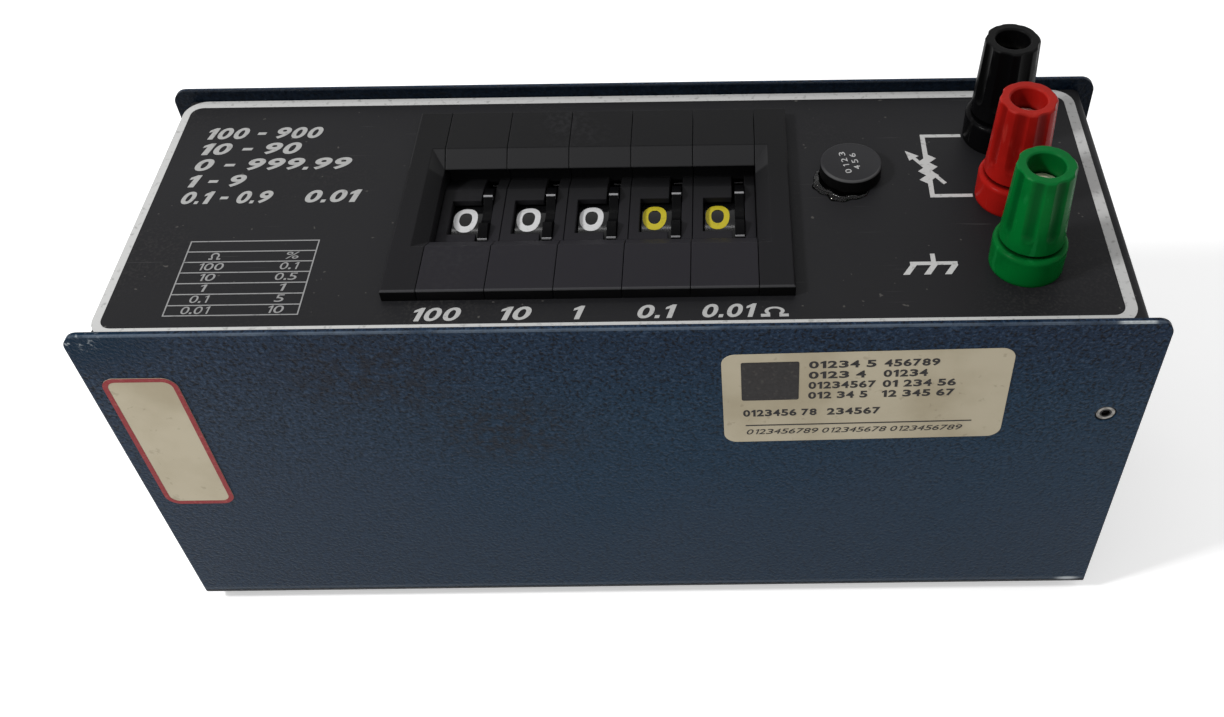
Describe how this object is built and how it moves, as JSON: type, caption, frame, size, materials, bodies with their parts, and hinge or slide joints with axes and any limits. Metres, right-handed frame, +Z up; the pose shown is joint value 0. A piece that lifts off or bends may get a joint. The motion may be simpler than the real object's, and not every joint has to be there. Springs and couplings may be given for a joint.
{
  "type": "decade resistance box",
  "caption": "Bench decade resistance box: blue sheet case, black panel, thumbwheel decade bank and fluted binding posts with screw caps.",
  "frame": {"origin": "on the surface the box stands on, under the middle of the case", "axes": "+X along the panel to the posts, -Y out of the front wall, +Z up out of the panel"},
  "size_m": [0.2, 0.0734, 0.1114],
  "materials": {
    "case_paint": "hammered paint",
    "panel_paint": "satin",
    "moulding": "fine matte",
    "wheel_moulding": "semi-matte",
    "black_plastic": "gloss",
    "red_plastic": "gloss",
    "green_plastic": "gloss",
    "disc_plastic": "satin",
    "rubber": "matte",
    "steel": "zinc plated",
    "brass": "bright",
    "plated_brass": "nickel plated",
    "tinned": "tinned",
    "board": "laminate",
    "resistor_body": "lacquered",
    "resistance_wire": "bare alloy wire",
    "wire_insulation": "smooth"
  },
  "bodies": {
    "root": {"case_wrap": "case_paint", "panel_chassis": "panel_paint", "rubber_feet": "rubber", "case_screws": "steel", "case_nuts": "steel", "housing_100": "moulding", "housing_10": "moulding", "housing_1": "moulding", "housing_0_1": "moulding", "housing_0_01": "moulding", "board_100": "board", "board_10": "board", "board_1": "board", "board_0_1": "board", "board_0_01": "board", "resistors_100": "resistor_body", "resistors_10": "resistor_body", "resistors_1": "resistor_body", "resistors_0_1": "resistance_wire", "resistors_0_01": "resistance_wire", "detent_spring_100": "steel", "detent_spring_10": "steel", "detent_spring_1": "steel", "detent_spring_0_1": "steel", "detent_spring_0_01": "steel", "left_end_cheek": "moulding", "right_end_cheek": "moulding", "tie_rods": "steel", "tie_rod_nuts": "steel", "bank_nuts": "steel", "collar_black": "black_plastic", "collar_red": "red_plastic", "collar_green": "green_plastic", "stud_black": "plated_brass", "stud_red": "plated_brass", "stud_green": "plated_brass", "rear_bushes": "black_plastic", "stud_nuts": "brass", "solder_tags": "tinned", "hookup_wires": "wire_insulation", "link_wires": "tinned", "disc_tag": "disc_plastic"},
    "dial_100": {"wheel_100": "wheel_moulding", "wiper_100": "brass"},
    "dial_10": {"wheel_10": "wheel_moulding", "wiper_10": "brass"},
    "dial_1": {"wheel_1": "wheel_moulding", "wiper_1": "brass"},
    "dial_0_1": {"wheel_0_1": "wheel_moulding", "wiper_0_1": "brass"},
    "dial_0_01": {"wheel_0_01": "wheel_moulding", "wiper_0_01": "brass"},
    "nut_black": {"insert_black": "brass"},
    "cap_black": {"cap_black": "black_plastic"},
    "nut_red": {"insert_red": "brass"},
    "cap_red": {"cap_red": "red_plastic"},
    "nut_green": {"insert_green": "brass"},
    "cap_green": {"cap_green": "green_plastic"}
  },
  "joints": [
    {"name": "dial_100_turn", "type": "hinge", "parent": "root", "child": "dial_100", "pos_m": [-0.03135, 0.0004, 0.06793], "axis": [1, 0, 0], "continuous": true, "deforming": ["detent_spring_100"]},
    {"name": "dial_10_turn", "type": "hinge", "parent": "root", "child": "dial_10", "pos_m": [-0.01865, 0.0004, 0.06793], "axis": [1, 0, 0], "continuous": true, "deforming": ["detent_spring_10"]},
    {"name": "dial_1_turn", "type": "hinge", "parent": "root", "child": "dial_1", "pos_m": [-0.00595, 0.0004, 0.06793], "axis": [1, 0, 0], "continuous": true, "deforming": ["detent_spring_1"]},
    {"name": "dial_0_1_turn", "type": "hinge", "parent": "root", "child": "dial_0_1", "pos_m": [0.00675, 0.0004, 0.06793], "axis": [1, 0, 0], "continuous": true, "deforming": ["detent_spring_0_1"]},
    {"name": "dial_0_01_turn", "type": "hinge", "parent": "root", "child": "dial_0_01", "pos_m": [0.01945, 0.0004, 0.06793], "axis": [1, 0, 0], "continuous": true, "deforming": ["detent_spring_0_01"]},
    {"name": "cap_black_lift", "type": "slide", "parent": "root", "child": "nut_black", "axis": [0, 0, 1], "range_m": [0, 0.004]},
    {"name": "cap_black_turn", "type": "hinge", "parent": "nut_black", "child": "cap_black", "pos_m": [0.0764, 0.02, 0.0877], "axis": [0, 0, 1], "range_deg": [0, 1440]},
    {"name": "cap_red_lift", "type": "slide", "parent": "root", "child": "nut_red", "axis": [0, 0, 1], "range_m": [0, 0.004]},
    {"name": "cap_red_turn", "type": "hinge", "parent": "nut_red", "child": "cap_red", "pos_m": [0.0764, 0.00095, 0.0877], "axis": [0, 0, 1], "range_deg": [0, 1440]},
    {"name": "cap_green_lift", "type": "slide", "parent": "root", "child": "nut_green", "axis": [0, 0, 1], "range_m": [0, 0.004]},
    {"name": "cap_green_turn", "type": "hinge", "parent": "nut_green", "child": "cap_green", "pos_m": [0.0764, -0.0181, 0.0877], "axis": [0, 0, 1], "range_deg": [0, 1440]}
  ],
  "couplings": [
    {"joint": "cap_black_turn", "follows": "cap_black_lift", "rad_per_m": 6283.2},
    {"joint": "cap_red_turn", "follows": "cap_red_lift", "rad_per_m": 6283.2},
    {"joint": "cap_green_turn", "follows": "cap_green_lift", "rad_per_m": 6283.2}
  ]
}
